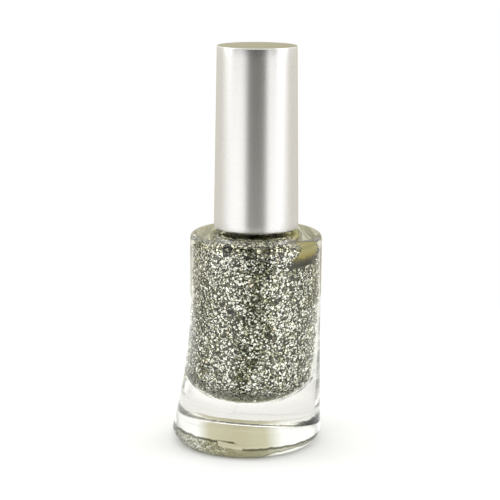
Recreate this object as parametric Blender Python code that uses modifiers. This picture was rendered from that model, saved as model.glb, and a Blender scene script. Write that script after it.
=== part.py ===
"""Nail polish bottle with a brush cap: glass bottle, glitter polish, closure, brush and mixing balls.

Frame: metres, +Z up. The origin is the centre of the round foot, on the surface it stands on.
The neck, the cap and the brush share one upright axis, NECK_X to the right of the origin.
"""

from math import cos, pi, radians, sin, sqrt

import bmesh
import bpy
from mathutils import Vector

MM = 0.001

# Driving dimensions, in millimetres.
TOTAL_HEIGHT = 80.0
NECK_X = 1.75
SEAT_GAP = 0.3

# Glass body. The foot is a circle about the origin, the shoulder one about the neck axis.
FOOT_RADIUS = 15.1
SHOULDER_RADIUS = 13.15
SHOULDER_TOP = 42.8
SHOULDER_ROUND = 1.1
SHOULDER_RISE = 0.5
STRAIGHT_ABOVE = 30.0
WIDEST_HEIGHT = 2.2
LOWEST_SIDE_LEVEL = 4.6
FLARE_POWER = 1.8
HEEL_OUTER = 12.9
HEEL_INNER = 11.4
RECESS_RADIUS = 10.7
RECESS_DEPTH = 0.75

# Cavity. It leans towards the flared side, so its lowest point is off the neck axis.
CAVITY_RADIUS = 8.7
CAVITY_LOW_RADIUS = 8.75
CAVITY_FLOOR = 8.0
CAVITY_CORNER = 13.3
CAVITY_LEAN = 1.7
CAVITY_LEAN_POWER = 1.5
CAVITY_SHOULDER = 41.2
CAVITY_SHOULDER_ROUND = 2.2

# Neck finish, 13 mm with a 2.117 mm pitch (12 threads an inch).
NECK_RADIUS = 5.85
NECK_ROOT_ROUND = 0.8
BORE_RADIUS = 3.7
BORE_END = 42.1
LIP_TOP = 54.0
LIP_ROUND = 0.45
THREAD_PITCH = 2.117
THREAD_TURNS = 2.0
THREAD_RUN_IN = 0.2
THREAD_END_SHARE = 0.25
THREAD_START_ANGLE = radians(3.7)
BOTTLE_THREAD_SECTION = 0.6
BOTTLE_THREAD_CENTRE = 5.8
BOTTLE_THREAD_START = 47.3

# Polish. It keeps POLISH_GAP to the glass and to the brush, and BALL_ROOM to the balls.
FILL_LEVEL = 37.0
POLISH_GAP = 0.3

# Overcap, a tapered sleeve.
CAP_RIM = 43.95
CAP_TOP_RADIUS = 7.88
CAP_RIM_RADIUS = 8.44
CAP_WALL = 0.6
CAP_EDGE_ROUND = 0.2

# Inner cap.
SKIRT_RIM = 44.35
SKIRT_BORE = 6.78
SKIRT_OUTER = 7.3
CAP_THREAD_SECTION = 0.46
CAP_THREAD_CENTRE = 6.6
CEILING = 56.5
CEILING_THICKNESS = 1.2
POST_OUTER = 5.9
POST_WALL = 0.8
POST_TOP = 76.5
POST_FOOT_HEIGHT = 0.8
RIB_COUNT = 10
RIB_WIDTH = 0.9
RIB_TOP_DROP = 1.0
SOCKET_OUTER = 2.9
SOCKET_TOP = 63.4

# Gasket.
GASKET_INNER = 3.85
GASKET_OUTER = 5.85
GASKET_THICKNESS = 0.8

# Brush stem.
FLANGE_RADIUS = 5.85
FLANGE_THICKNESS = 0.8
PLUG_RADIUS = 3.4
PLUG_DEPTH = 3.0
PLUG_CHAMFER = 0.4
STEM_TOP_RADIUS = 1.75
STEM_LOW_RADIUS = 1.55
STEM_END = 28.0
STEM_END_CHAMFER = 0.3
STUD_RADIUS = 1.7
STUD_TOP = 62.4
STUD_CHAMFER = 0.4

# Bristle tuft and the anchor plate that holds it in the stem.
TUFT_BORE_RADIUS = 1.15
TUFT_BORE_DEPTH = 4.0
TUFT_ROOT_GAP = 0.3
TUFT_TIP = 13.3
TUFT_TIP_ROUND = 0.3
TUFT_TIP_DRAW = 0.55
TUFT_BELLY_RADIUS = 1.75
TUFT_BELLY_HEIGHT = 20.0
ANCHOR_THICKNESS = 0.25
ANCHOR_HEIGHT = 1.2
ANCHOR_ABOVE_END = 1.9
ANCHOR_CORNER_GAP = 0.32

# Mixing balls. BALL_LIFT is how far the bowl's curve holds them above its lowest point.
BALL_RADIUS = 2.0
BALL_GAP = 0.3
BALL_LIFT = 0.25
BALL_ROOM = 0.42

# Mesh fineness. A cutter is made CUTTER_MARGIN longer than what it cuts through.
BODY_STEPS = 48
SMALL_STEPS = 24
GASKET_STEPS = 32
THREAD_STEPS = 24
SIDE_STEPS = 7
WALL_STEPS = 4
BOWL_STEPS = 6
TUFT_STEPS = 3
CUTTER_MARGIN = 1.0
WELD_DISTANCE = 0.000001
SMOOTH_ANGLE = radians(35)


def clear_scene():
    for obj in list(bpy.data.objects):
        bpy.data.objects.remove(obj, do_unlink=True)


def new_collection(name):
    collection = bpy.data.collections.new(name)
    bpy.context.scene.collection.children.link(collection)
    return collection


def new_material(name, colour, roughness, metallic=0.0, transmission=0.0, ior=1.5):
    material = bpy.data.materials.new(name)
    material.use_nodes = True
    shader = material.node_tree.nodes["Principled BSDF"]
    shader.inputs["Base Color"].default_value = (*colour, 1.0)
    shader.inputs["Roughness"].default_value = roughness
    shader.inputs["Metallic"].default_value = metallic
    shader.inputs["Transmission Weight"].default_value = transmission
    shader.inputs["IOR"].default_value = ior
    return material


def add_object(name, mesh, collection, material=None):
    obj = bpy.data.objects.new(name, mesh)
    collection.objects.link(obj)
    if material is not None:
        mesh.materials.clear()
        mesh.materials.append(material)
    return obj


def add_shape(name, shape, collection, material=None):
    """Make an object of a bmesh and free it."""
    mesh = bpy.data.meshes.new(name)
    shape.to_mesh(mesh)
    shape.free()
    return add_object(name, mesh, collection, material)


def make_cutter(obj):
    obj.hide_render = True
    obj.display_type = "WIRE"
    return obj


def smooth_round(obj):
    obj.data.shade_smooth()
    obj.data.set_sharp_from_angle(angle=SMOOTH_ANGLE)


def evaluated_mesh(obj):
    """A new mesh of an object as its modifiers or its bevel make it."""
    bpy.context.view_layer.update()
    graph = bpy.context.evaluated_depsgraph_get()
    return bpy.data.meshes.new_from_object(obj.evaluated_get(graph))


def arc(centre, radius, start, end, steps):
    """Points (r, z) on an arc, in degrees, counted from the +r direction towards +z."""
    angles = [radians(start + (end - start) * i / steps) for i in range(steps + 1)]
    return [(centre[0] + radius * cos(a), centre[1] + radius * sin(a)) for a in angles]


def spaced(start, end, steps):
    """Evenly spaced values from start to end, both included."""
    return [start + (end - start) * i / steps for i in range(steps + 1)]


def turned(name, profile, collection, material=None, steps=BODY_STEPS):
    """Turn a profile of (r, z) points, in millimetres, about Z. It runs down the outer side."""
    mesh = bpy.data.meshes.new(name)
    points = [(r * MM, 0.0, z * MM) for r, z in profile]
    edges = [(i, i + 1) for i in range(len(points) - 1)]
    if profile[0][0] > 0.0:
        edges.append((len(points) - 1, 0))
    mesh.from_pydata(points, edges, [])
    obj = add_object(name, mesh, collection, material)
    screw = obj.modifiers.new("Turn", "SCREW")
    screw.axis = "Z"
    screw.steps = steps
    screw.render_steps = steps
    screw.use_merge_vertices = True
    screw.merge_threshold = WELD_DISTANCE
    return obj


def leaned(obj, centre_x):
    """Shift each level of a turned shape sideways: centre_x gives its centre at a height."""
    mesh = evaluated_mesh(obj)
    obj.modifiers.clear()
    obj.data = mesh
    for vertex in mesh.vertices:
        vertex.co.x += centre_x(vertex.co.z / MM) * MM
    return obj


def boolean(obj, other, operation):
    modifier = obj.modifiers.new(operation.title(), "BOOLEAN")
    modifier.operation = operation
    modifier.solver = "EXACT"
    modifier.object = other


def helix(name, radius, section, start, collection):
    """A right-hand thread ridge of round section about the neck axis, thinner at both ends."""
    curve = bpy.data.curves.new(name, "CURVE")
    curve.dimensions = "3D"
    curve.bevel_depth = section * MM
    curve.bevel_resolution = 1
    curve.use_fill_caps = True
    spline = curve.splines.new("POLY")
    count = round(THREAD_TURNS * THREAD_STEPS) + 1
    spline.points.add(count - 1)
    for i, point in enumerate(spline.points):
        share = i / (count - 1)
        angle = THREAD_START_ANGLE + 2 * pi * THREAD_TURNS * share
        height = start + THREAD_PITCH * THREAD_TURNS * share
        point.co = (radius * MM * cos(angle), radius * MM * sin(angle), height * MM, 1.0)
        run_in = min(share, 1.0 - share) * THREAD_TURNS / THREAD_RUN_IN
        point.radius = max(THREAD_END_SHARE, min(1.0, run_in))
    obj = add_object(name, curve, collection)
    obj.location.x = NECK_X * MM
    return make_cutter(meshed(obj, collection))


def meshed(obj, collection):
    """Make a closed mesh object of a curve object, with its caps welded to its sides."""
    weld = bmesh.new()
    weld.from_mesh(evaluated_mesh(obj))
    bmesh.ops.remove_doubles(weld, verts=weld.verts, dist=WELD_DISTANCE)
    bmesh.ops.recalc_face_normals(weld, faces=weld.faces)
    name = obj.name
    matrix = obj.matrix_world.copy()
    bpy.data.objects.remove(obj, do_unlink=True)
    made = add_shape(name, weld, collection)
    made.matrix_world = matrix
    return made


# Shape of the glass body and of its cavity.


def flare(z):
    """0 on the straight part of the body, 1 at the widest level of the foot."""
    share = (STRAIGHT_ABOVE - z) / (STRAIGHT_ABOVE - WIDEST_HEIGHT)
    return min(max(share, 0.0), 1.0) ** FLARE_POWER


def body_radius(z):
    return SHOULDER_RADIUS + (FOOT_RADIUS - SHOULDER_RADIUS) * flare(z)


def body_centre(z):
    return NECK_X * (1.0 - flare(z))


def cavity_centre(z):
    share = (STRAIGHT_ABOVE - z) / (STRAIGHT_ABOVE - CAVITY_FLOOR)
    return NECK_X - CAVITY_LEAN * min(max(share, 0.0), 1.0) ** CAVITY_LEAN_POWER


def cavity_shoulder():
    """The cavity's rounded shoulder, from near the bore down to its wall."""
    centre = (CAVITY_RADIUS - CAVITY_SHOULDER_ROUND, CAVITY_SHOULDER - CAVITY_SHOULDER_ROUND)
    return arc(centre, CAVITY_SHOULDER_ROUND, 80, 0, 5)


def cavity_wall(gap=0.0):
    """The cavity's outline below STRAIGHT_ABOVE, drawn in by a gap: wall, then round bowl."""
    radii = spaced(CAVITY_RADIUS, CAVITY_LOW_RADIUS, WALL_STEPS)
    heights = spaced(STRAIGHT_ABOVE, CAVITY_CORNER, WALL_STEPS)
    points = [(r - gap, z) for r, z in zip(radii, heights)]
    depth = CAVITY_CORNER - CAVITY_FLOOR - gap
    for i in range(1, BOWL_STEPS):
        angle = pi / 2 * i / BOWL_STEPS
        points.append(((CAVITY_LOW_RADIUS - gap) * cos(angle), CAVITY_CORNER - depth * sin(angle)))
    points.append((0.0, CAVITY_FLOOR + gap))
    return points


def body_profile():
    """The outer outline of body and neck, from the lip down to the centre of the recess."""
    lip = arc((NECK_RADIUS - LIP_ROUND, LIP_TOP - LIP_ROUND), LIP_ROUND, 90, 0, 2)
    root_z = SHOULDER_TOP + SHOULDER_RISE + NECK_ROOT_ROUND
    root = arc((NECK_RADIUS + NECK_ROOT_ROUND, root_z), NECK_ROOT_ROUND, 180, 260, 3)
    round_z = SHOULDER_TOP - SHOULDER_ROUND
    edge = arc((SHOULDER_RADIUS - SHOULDER_ROUND, round_z), SHOULDER_ROUND, 85, 0, 4)
    levels = spaced(STRAIGHT_ABOVE, LOWEST_SIDE_LEVEL, SIDE_STEPS)
    side = [(body_radius(z), z) for z in levels]
    heel = arc((HEEL_OUTER, WIDEST_HEIGHT), FOOT_RADIUS - HEEL_OUTER, 0, -90, 4)
    recess = [(HEEL_INNER, 0.0), (RECESS_RADIUS, RECESS_DEPTH), (0.0, RECESS_DEPTH)]
    return [(0.0, LIP_TOP)] + lip + root + edge + side + heel + recess


def make_bottle(collection, cutters, material):
    bottle = leaned(turned("bottle", body_profile(), collection, material), body_centre)
    bore_top = LIP_TOP + CUTTER_MARGIN
    bore = [(0.0, bore_top), (BORE_RADIUS, bore_top), (BORE_RADIUS, BORE_END)]
    cavity = turned("cavity_cutter", bore + cavity_shoulder() + cavity_wall(), cutters)
    make_cutter(leaned(cavity, cavity_centre))
    thread = helix(
        "bottle_thread_tool",
        BOTTLE_THREAD_CENTRE,
        BOTTLE_THREAD_SECTION,
        BOTTLE_THREAD_START,
        cutters,
    )
    boolean(bottle, thread, "UNION")
    boolean(bottle, cavity, "DIFFERENCE")
    smooth_round(bottle)


def ball_places():
    """Centres of the two balls, side by side in the lowest part of the bowl."""
    x = cavity_centre(CAVITY_FLOOR)
    height = CAVITY_FLOOR + BALL_GAP + BALL_RADIUS + BALL_LIFT
    spread = BALL_RADIUS + BALL_GAP / 2
    return [Vector((x, -spread, height)) * MM, Vector((x, spread, height)) * MM]


def sphere(name, radius, subdivisions, place, collection, material=None):
    shape = bmesh.new()
    bmesh.ops.create_icosphere(shape, subdivisions=subdivisions, radius=radius * MM)
    obj = add_shape(name, shape, collection, material)
    obj.location = place
    return obj


def make_balls(collection, material):
    for i, place in enumerate(ball_places(), start=1):
        smooth_round(sphere(f"mixing_ball_{i}", BALL_RADIUS, 3, place, collection, material))


def make_polish(collection, cutters, material):
    """The liquid at rest, hollowed for the brush that hangs in it and the balls that lie in it."""
    surface = [(0.0, FILL_LEVEL), (CAVITY_RADIUS - POLISH_GAP, FILL_LEVEL)]
    profile = surface + cavity_wall(POLISH_GAP)
    polish = leaned(turned("polish", profile, collection, material), cavity_centre)
    room_top = FILL_LEVEL + CUTTER_MARGIN
    room_end = TUFT_TIP - POLISH_GAP
    room_profile = [(0.0, room_top), (TUFT_BELLY_RADIUS + POLISH_GAP, room_top)]
    for z in spaced(TUFT_BELLY_HEIGHT, TUFT_TIP, TUFT_STEPS):
        room_profile.append((tuft_radius(z) + POLISH_GAP, z))
    room_profile += [(tuft_radius(TUFT_TIP) + POLISH_GAP, room_end), (0.0, room_end)]
    brush_room = turned("brush_room_cutter", room_profile, cutters, steps=SMALL_STEPS)
    brush_room.location.x = NECK_X * MM
    for i, place in enumerate(ball_places(), start=1):
        ball_room = sphere(f"ball_room_cutter_{i}", BALL_RADIUS + BALL_ROOM, 2, place, cutters)
        boolean(polish, make_cutter(ball_room), "DIFFERENCE")
    boolean(polish, make_cutter(brush_room), "DIFFERENCE")
    smooth_round(polish)


# Closure.


def cap_radius(z):
    """Outer radius of the tapered overcap at a height."""
    share = (z - CAP_RIM) / (TOTAL_HEIGHT - CAP_RIM)
    return CAP_RIM_RADIUS + (CAP_TOP_RADIUS - CAP_RIM_RADIUS) * share


def make_overcap(collection, material):
    edge_centre = (CAP_TOP_RADIUS - CAP_EDGE_ROUND, TOTAL_HEIGHT - CAP_EDGE_ROUND)
    rim_round = CAP_WALL / 2
    rim_centre = (CAP_RIM_RADIUS - rim_round, CAP_RIM + rim_round)
    inner_top = TOTAL_HEIGHT - CAP_WALL
    profile = [(0.0, TOTAL_HEIGHT)]
    profile += arc(edge_centre, CAP_EDGE_ROUND, 90, 0, 3)
    profile += arc(rim_centre, rim_round, 0, -180, 4)
    profile += [(CAP_TOP_RADIUS - CAP_WALL, inner_top), (0.0, inner_top)]
    overcap = turned("overcap", profile, collection, material)
    overcap.location.x = NECK_X * MM
    smooth_round(overcap)


def make_inner_cap(collection, cutters, material):
    """Threaded skirt, ceiling, ribbed post for the overcap, and a blind socket for the stud."""
    ceiling_top = CEILING + CEILING_THICKNESS
    socket_end = STUD_TOP + SEAT_GAP
    profile = [
        (0.0, SOCKET_TOP),
        (SOCKET_OUTER, SOCKET_TOP),
        (SOCKET_OUTER, ceiling_top),
        (POST_OUTER - POST_WALL, ceiling_top),
        (POST_OUTER - POST_WALL, POST_TOP),
        (POST_OUTER, POST_TOP),
        (POST_OUTER, ceiling_top + POST_FOOT_HEIGHT),
        (SKIRT_OUTER, ceiling_top),
        (SKIRT_OUTER, SKIRT_RIM),
        (SKIRT_BORE, SKIRT_RIM),
        (SKIRT_BORE, CEILING),
        (STUD_RADIUS + SEAT_GAP, CEILING),
        (STUD_RADIUS + SEAT_GAP, socket_end),
        (0.0, socket_end),
    ]
    inner_cap = turned("inner_cap", profile, collection, material)
    inner_cap.location.x = NECK_X * MM
    for i in range(RIB_COUNT):
        boolean(inner_cap, make_rib(i, cutters), "UNION")
    thread = helix(
        "inner_cap_thread_tool",
        CAP_THREAD_CENTRE,
        CAP_THREAD_SECTION,
        BOTTLE_THREAD_START - THREAD_PITCH / 2,
        cutters,
    )
    boolean(inner_cap, thread, "UNION")
    smooth_round(inner_cap)


def make_rib(index, cutters):
    """A lengthwise rib that fills the room between the post and the overcap's tapered wall."""
    bottom = CEILING + CEILING_THICKNESS / 2
    top = POST_TOP - RIB_TOP_DROP
    shape = bmesh.new()
    bmesh.ops.create_cube(shape, size=1.0)
    for vertex in shape.verts:
        z = top if vertex.co.z > 0.0 else bottom
        reach = cap_radius(z) - CAP_WALL - SEAT_GAP
        x = reach if vertex.co.x > 0.0 else POST_OUTER - POST_WALL / 2
        vertex.co = Vector((x, vertex.co.y * RIB_WIDTH, z)) * MM
    rib = make_cutter(add_shape(f"rib_tool_{index}", shape, cutters))
    rib.location.x = NECK_X * MM
    rib.rotation_euler.z = 2 * pi * index / RIB_COUNT
    return rib


def make_gasket(collection, material):
    low = LIP_TOP + SEAT_GAP
    high = low + GASKET_THICKNESS
    profile = [(GASKET_INNER, high), (GASKET_OUTER, high), (GASKET_OUTER, low), (GASKET_INNER, low)]
    gasket = turned("sealing_gasket", profile, collection, material, steps=GASKET_STEPS)
    gasket.location.x = NECK_X * MM
    smooth_round(gasket)


# Brush.


def make_stem(collection, material):
    """Stud, flange, plug and tapered rod, with a bore in its end for the bristles."""
    flange_low = LIP_TOP + GASKET_THICKNESS + 2 * SEAT_GAP
    flange_top = flange_low + FLANGE_THICKNESS
    plug_low = flange_low - PLUG_DEPTH
    bore_end = STEM_END + TUFT_BORE_DEPTH
    profile = [
        (0.0, STUD_TOP),
        (STUD_RADIUS - STUD_CHAMFER, STUD_TOP),
        (STUD_RADIUS, STUD_TOP - STUD_CHAMFER),
        (STUD_RADIUS, flange_top),
        (FLANGE_RADIUS, flange_top),
        (FLANGE_RADIUS, flange_low),
        (PLUG_RADIUS, flange_low),
        (PLUG_RADIUS, plug_low + PLUG_CHAMFER),
        (PLUG_RADIUS - PLUG_CHAMFER, plug_low),
        (STEM_TOP_RADIUS, plug_low),
        (STEM_LOW_RADIUS, STEM_END + STEM_END_CHAMFER),
        (STEM_LOW_RADIUS - STEM_END_CHAMFER, STEM_END),
        (TUFT_BORE_RADIUS, STEM_END),
        (TUFT_BORE_RADIUS, bore_end),
        (0.0, bore_end),
    ]
    stem = turned("brush_stem", profile, collection, material, steps=SMALL_STEPS)
    stem.location.x = NECK_X * MM
    smooth_round(stem)


def tuft_radius(z):
    """Radius of the free bristles: drawn in at the stem, full at the belly, narrower at the tip."""
    if z > TUFT_BELLY_HEIGHT:
        share = (z - TUFT_BELLY_HEIGHT) / (STEM_END - TUFT_BELLY_HEIGHT)
        root_radius = TUFT_BORE_RADIUS - TUFT_ROOT_GAP
        return TUFT_BELLY_RADIUS + (root_radius - TUFT_BELLY_RADIUS) * share
    share = (TUFT_BELLY_HEIGHT - z) / (TUFT_BELLY_HEIGHT - TUFT_TIP)
    return TUFT_BELLY_RADIUS - TUFT_TIP_DRAW * share**2


def make_tuft(collection, cutters, material):
    """The bristles as one solid: a root in the stem's bore, slotted for the anchor, and a free end."""
    root_top = STEM_END + TUFT_BORE_DEPTH - TUFT_ROOT_GAP
    upper = spaced(STEM_END, TUFT_BELLY_HEIGHT, TUFT_STEPS)
    lower = spaced(TUFT_BELLY_HEIGHT, TUFT_TIP + TUFT_TIP_ROUND, TUFT_STEPS)
    profile = [(0.0, root_top), (TUFT_BORE_RADIUS - TUFT_ROOT_GAP, root_top)]
    profile += [(tuft_radius(z), z) for z in upper + lower[1:]]
    profile += [(tuft_radius(TUFT_TIP) - TUFT_TIP_ROUND, TUFT_TIP), (0.0, TUFT_TIP)]
    tuft = turned("bristle_tuft", profile, collection, material, steps=SMALL_STEPS)
    tuft.location.x = NECK_X * MM
    slot_size = (
        2 * (TUFT_BORE_RADIUS + TUFT_ROOT_GAP),
        ANCHOR_THICKNESS + 2 * TUFT_ROOT_GAP,
        ANCHOR_HEIGHT + 2 * TUFT_ROOT_GAP,
    )
    slot = make_cutter(anchor_block("anchor_slot_cutter", slot_size, cutters))
    boolean(tuft, slot, "DIFFERENCE")
    smooth_round(tuft)


def anchor_block(name, size, collection, material=None):
    """A block, sized in millimetres, centred where the anchor stands across the stem's bore."""
    shape = bmesh.new()
    bmesh.ops.create_cube(shape, size=1.0)
    bmesh.ops.scale(shape, vec=Vector(size) * MM, verts=shape.verts)
    block = add_shape(name, shape, collection, material)
    block.location = Vector((NECK_X, 0.0, STEM_END + ANCHOR_ABOVE_END + ANCHOR_HEIGHT / 2)) * MM
    return block


def make_anchor(collection, material):
    """The plate is as wide as the bore lets its corners be."""
    half_width = sqrt((TUFT_BORE_RADIUS - ANCHOR_CORNER_GAP) ** 2 - (ANCHOR_THICKNESS / 2) ** 2)
    size = (2 * half_width, ANCHOR_THICKNESS, ANCHOR_HEIGHT)
    anchor_block("tuft_anchor", size, collection, material)


def main():
    clear_scene()
    parts = new_collection("nail_polish_bottle")
    cutters = new_collection("cutters")
    glass = new_material("clear_glass", (0.93, 0.95, 0.90), 0.02, transmission=1.0, ior=1.52)
    lacquer = new_material("glitter_polish", (0.46, 0.46, 0.40), 0.3, metallic=0.4)
    satin = new_material("satin_silver", (0.78, 0.77, 0.75), 0.32, metallic=1.0)
    moulded = new_material("white_plastic", (0.85, 0.85, 0.83), 0.4)
    foam = new_material("gasket_foam", (0.90, 0.89, 0.86), 0.8)
    wand = new_material("black_plastic", (0.03, 0.03, 0.03), 0.35)
    nylon = new_material("black_nylon", (0.04, 0.035, 0.03), 0.45)
    steel = new_material("steel", (0.62, 0.61, 0.60), 0.2, metallic=1.0)

    make_bottle(parts, cutters, glass)
    make_polish(parts, cutters, lacquer)
    make_balls(parts, steel)
    make_overcap(parts, satin)
    make_inner_cap(parts, cutters, moulded)
    make_gasket(parts, foam)
    make_stem(parts, wand)
    make_tuft(parts, cutters, nylon)
    make_anchor(parts, steel)


main()
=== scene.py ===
"""Looks of the nail polish bottle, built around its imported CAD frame.

Metres, +Z up, in the CAD's own frame. Sizes come from the CAD's boxes where these tell them. The
other lengths repeat the CAD's, or belong to the looks alone.
"""

from math import atan2, cos, pi, radians, sin

import bmesh
import bpy
import numpy as np
from mathutils import Matrix, Vector


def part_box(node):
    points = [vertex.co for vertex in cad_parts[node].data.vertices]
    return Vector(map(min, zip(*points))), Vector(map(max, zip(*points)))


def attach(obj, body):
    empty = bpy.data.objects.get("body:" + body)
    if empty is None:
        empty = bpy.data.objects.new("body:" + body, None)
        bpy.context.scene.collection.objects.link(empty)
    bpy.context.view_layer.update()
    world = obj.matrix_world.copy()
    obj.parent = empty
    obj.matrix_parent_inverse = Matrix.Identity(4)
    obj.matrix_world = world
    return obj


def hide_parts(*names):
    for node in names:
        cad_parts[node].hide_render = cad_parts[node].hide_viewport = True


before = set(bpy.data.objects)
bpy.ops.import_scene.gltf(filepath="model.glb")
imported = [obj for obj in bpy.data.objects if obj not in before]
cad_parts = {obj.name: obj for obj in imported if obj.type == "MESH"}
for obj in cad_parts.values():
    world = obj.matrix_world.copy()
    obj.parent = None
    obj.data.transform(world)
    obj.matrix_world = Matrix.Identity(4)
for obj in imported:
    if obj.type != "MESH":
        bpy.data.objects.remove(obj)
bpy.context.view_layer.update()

MM = 0.001

# Camera, where the photograph's was.
CAMERA_PLACE = Vector((0.55, -312.6, 106.7)) * MM
CAMERA_PITCH_DOWN = radians(12.2)
CAMERA_ROLL = radians(0.286)
SENSOR = 36.0
FOCAL_IN_WIDTHS = 3.19

# Round pieces, from the CAD's boxes.
FOOT_LOW, FOOT_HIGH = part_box("bottle")
CAP_LOW, CAP_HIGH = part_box("overcap")
INNER_LOW, INNER_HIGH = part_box("inner_cap")
GASKET_LOW, GASKET_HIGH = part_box("sealing_gasket")
STEM_LOW, STEM_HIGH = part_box("brush_stem")
TUFT_LOW, TUFT_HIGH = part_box("bristle_tuft")
FILL_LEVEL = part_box("polish")[1].z

NECK_X = (CAP_LOW.x + CAP_HIGH.x) / 2
FOOT_RADIUS = (FOOT_HIGH.x - FOOT_LOW.x) / 2
LIP_TOP = FOOT_HIGH.z
CAP_RIM_RADIUS = (CAP_HIGH.x - CAP_LOW.x) / 2
CAP_TAPER = 7.88 / 8.44
# Levels over which painted shade darkens the sleeve's closed end.
CAP_SHADED_END_LEVELS = (CAP_HIGH.z - 0.06 * MM, CAP_HIGH.z - 0.02 * MM)

# Glass body: the same outline as the CAD's, in finer steps.
SHOULDER_RADIUS = 13.15 * MM
SHOULDER_TOP = 42.8 * MM
SHOULDER_ROUND = 1.1 * MM
SHOULDER_RISE = 0.5 * MM
STRAIGHT_ABOVE = 30.0 * MM
WIDEST_HEIGHT = 2.2 * MM
FLARE_POWER = 1.8
HEEL_OUTER = 12.9 * MM
HEEL_CREASE = radians(35)
HEEL_INNER = 11.4 * MM
RECESS_RADIUS = 10.7 * MM
RECESS_DEPTH = 0.75 * MM
CAVITY_RADIUS = 8.7 * MM
CAVITY_LOW_RADIUS = 8.75 * MM
CAVITY_FLOOR = 8.0 * MM
CAVITY_CORNER = 13.3 * MM
CAVITY_LEAN = 1.7 * MM
CAVITY_LEAN_POWER = 1.5
CAVITY_SHOULDER = 41.2 * MM
CAVITY_SHOULDER_ROUND = 2.2 * MM
NECK_RADIUS = 5.85 * MM
NECK_ROOT_ROUND = 0.8 * MM
BORE_RADIUS = 3.7 * MM
BORE_END = 42.1 * MM
LIP_ROUND = 0.45 * MM
THREAD_PITCH = 2.117 * MM
THREAD_TURNS = 2.0
THREAD_START = 47.3 * MM
THREAD_START_ANGLE = radians(3.7)
THREAD_HALF_WIDTH = 0.36 * THREAD_PITCH
THREAD_RUN_IN_TURNS = 0.12
NECK_THREAD_HEIGHT = 0.54 * MM
CAP_THREAD_HEIGHT = 0.42 * MM
SAME_RADIUS = 0.01 * MM

ROUND_STEPS = 192
FULL_TURN = 2 * pi

# Glass: its index, its tint, and two tints by height (share of TINT_LEVELS, tint): a greyer
# band low on the body, and a painted reflection on the shoulder.
GLASS_IOR = 1.52
LACQUER_IOR = 1.47
WHITE = (1.0, 1.0, 1.0)
GLASS_TINT = (0.945, 0.952, 0.912)
LACQUER_TINT = (0.98, 0.985, 0.93)
LOW_BAND_TINT = (0.74, 0.72, 0.71)
# Painted reflection on the shoulder.
SHOULDER_REFLECTION_TINT = (0.86, 0.84, 0.62)
TINT_LEVELS = (6.0 * MM, 46.0 * MM)
TINT_STOPS = [
    (0.0, GLASS_TINT),
    (0.036, LOW_BAND_TINT),
    (0.11, LOW_BAND_TINT),
    (0.18, GLASS_TINT),
    (0.87, GLASS_TINT),
    (0.89, SHOULDER_REFLECTION_TINT),
    (0.93, SHOULDER_REFLECTION_TINT),
    (0.95, GLASS_TINT),
]
WAVE_SCALE = 160.0
WAVE_STRENGTH = 0.12
GLASS_BUMP = 0.2 * MM
FINE_BUMP = 0.02 * MM

# Stipple on the heel, with painted shade: the olive-grey and the dark line that the heel shows by
# refraction.
# Painted highlights sit in specks and on one smooth facet. Pairs are two ends of a fade.
STIPPLE_SHADE_TINT = (0.34, 0.34, 0.22)
STIPPLE_SHADE_DARK = (0.025, 0.025, 0.012)
STIPPLE_SHADE_STOPS = [(0.0, GLASS_TINT), (0.25, STIPPLE_SHADE_DARK), (0.65, STIPPLE_SHADE_DARK), (1.0, STIPPLE_SHADE_TINT)]
STIPPLE_HEIGHTS = (3.9 * MM, 2.6 * MM)
STIPPLE_STEP_X = (-2.6 * MM, -0.8 * MM)
STIPPLE_LINE = 0.75 * MM
STIPPLE_END = (5.8 * MM, 6.0 * MM)
STIPPLE_ROUGHNESS = 0.36
RAGGED_EDGE = (-0.5 * MM, 0.4 * MM)
RIM_HEIGHTS = (-0.6 * MM, 1.4 * MM)
RIM_X = (0.5 * MM, 6.0 * MM)
RIM_FADE = 0.3 * MM
HEEL_FADE = 0.1 * MM
FRONT_Y = (-5.0 * MM, 3.0 * MM)
BACK_SHARE = 0.2
SPECK_X = (-7.0 * MM, 0.0)
HIGHLIGHT_SPECKS = (0.57, 0.60)
SHADE_SPECKS = (0.52, 0.56)
FACET_PLACE = -3.2 * MM
FACET_HEIGHT = 2.5 * MM
FACET_SLOPE = -0.12
FACET_LEAN = 2.2
FACET_HALF_LENGTH = (2.3 * MM, 2.6 * MM)
FACET_HALF_HEIGHT = (0.45 * MM, 0.6 * MM)

# Lacquer and glitter.
MURK_DEPTH = 0.35 * MM
MURK_TILT = 0.45
FLAKY_LEVELS = (CAVITY_FLOOR + 1.9 * MM, CAVITY_FLOOR + 3.8 * MM)
FILM_THICKNESS = 0.12 * MM
FILM_OVERLAP = 0.1 * MM
FILM_BEND = 38.9 * MM
FILM_END_RADIUS = 4.6 * MM
FILM_END_RISE = 0.3 * MM
# The bare patch above the fill level; it takes a painted amber reflection.
AMBER_LEVELS = (36.9 * MM, 41.1 * MM)
AMBER_REFLECTION_LEVELS = (37.5 * MM, 40.1 * MM)
AMBER_ANGLES = (radians(-90 + 62), radians(-90 + 92))
AMBER_HALF_WIDTH = radians(29)
AMBER_BUMP = 0.1 * MM
FILM_RAGGED = 0.05
FLAKES_RAGGED = 0.08
FLAKE_SIDES = 6
FLAKE_SIZES = (0.13 * MM, 0.44 * MM)
FLAKE_SIZE_POWER = 3.0
FLAKE_DEPTH = 0.16 * MM
FLAKE_DEPTH_POWER = 1.3
FLAKE_TILT = 0.11
LOOSE_TILT = 0.42
LOOSE_FLAKES = 0.27
FLAKE_SHARES = (0.67, 0.25, 0.04, 0.04)
FLAKES_KEPT = 0.78
KEPT_SWING = 0.45
FEWEST_FLAKES = 0.28
FEWEST_AT_BOTTOM = 0.02
CROWD_WAVES = 14
CROWD_AROUND = (2, 15)
CROWD_RISE = 1.4
BARE_BOTTOM = 1.6 * MM
BARE_LEAN = 0.35

# Brush.
BRISTLE_COUNT = 190
BRISTLE_RADIUS = 0.055 * MM
BRISTLE_SIDES = 6
TUFT_BORE_REACH = 1.0 * MM
WET_FLAKES = 900

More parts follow.
